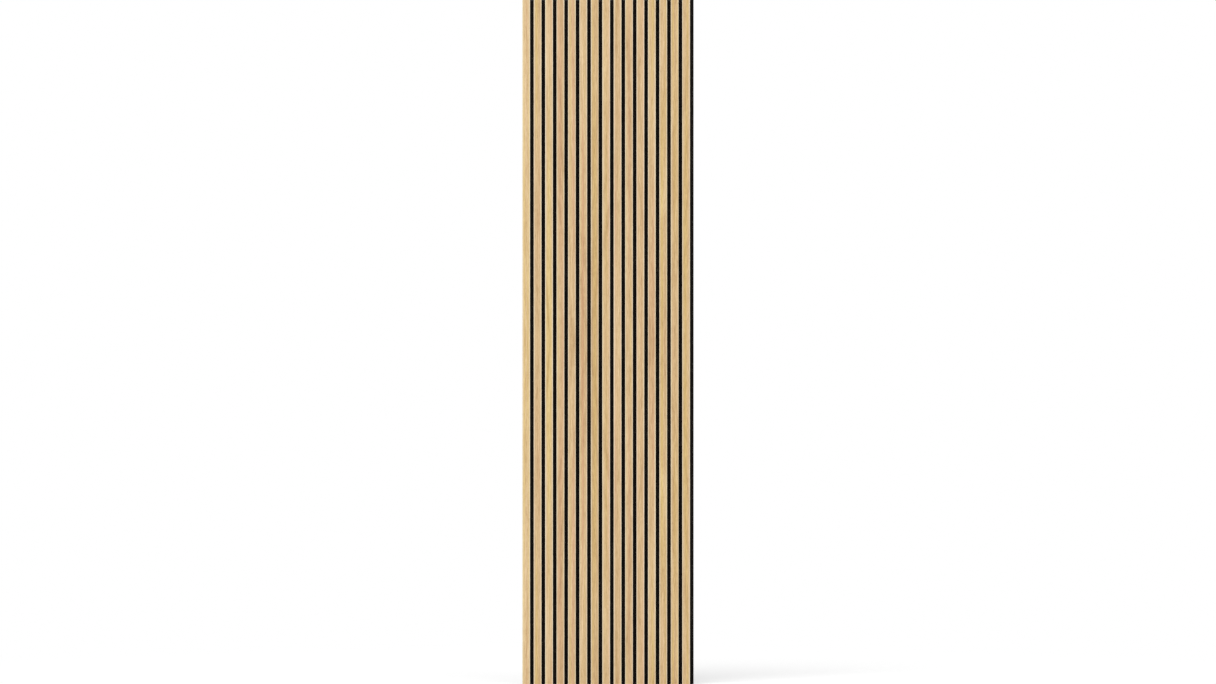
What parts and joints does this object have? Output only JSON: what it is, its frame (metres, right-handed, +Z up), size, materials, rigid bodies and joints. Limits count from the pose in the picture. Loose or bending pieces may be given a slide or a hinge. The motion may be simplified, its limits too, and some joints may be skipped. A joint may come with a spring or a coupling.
{
  "type": "acoustic slat wall panel",
  "caption": "Upright oak-veneered slats stapled to a black felt board: a wall panel whose open grooves let the felt absorb sound.",
  "frame": {"origin": "centre of the felt's back, the face that lies on the wall", "axes": "+X to the right as seen from the room, +Y into the wall, +Z up along the slats"},
  "size_m": [0.6, 0.021, 2.4],
  "materials": {
    "oak_veneer": "fine-sanded, clear matt lacquer",
    "mdf": "raw sawn MDF",
    "felt": "needled black felt",
    "staple_wire": "galvanised"
  },
  "bodies": {
    "root": {"felt_backing": "felt", "slat_01_core": "mdf", "slat_02_core": "mdf", "slat_03_core": "mdf", "slat_04_core": "mdf", "slat_05_core": "mdf", "slat_06_core": "mdf", "slat_07_core": "mdf", "slat_08_core": "mdf", "slat_09_core": "mdf", "slat_10_core": "mdf", "slat_11_core": "mdf", "slat_12_core": "mdf", "slat_13_core": "mdf", "slat_14_core": "mdf", "slat_15_core": "mdf", "slat_01_veneer": "oak_veneer", "slat_02_veneer": "oak_veneer", "slat_03_veneer": "oak_veneer", "slat_04_veneer": "oak_veneer", "slat_05_veneer": "oak_veneer", "slat_06_veneer": "oak_veneer", "slat_07_veneer": "oak_veneer", "slat_08_veneer": "oak_veneer", "slat_09_veneer": "oak_veneer", "slat_10_veneer": "oak_veneer", "slat_11_veneer": "oak_veneer", "slat_12_veneer": "oak_veneer", "slat_13_veneer": "oak_veneer", "slat_14_veneer": "oak_veneer", "slat_15_veneer": "oak_veneer", "staples": "staple_wire"}
  },
  "joints": []
}
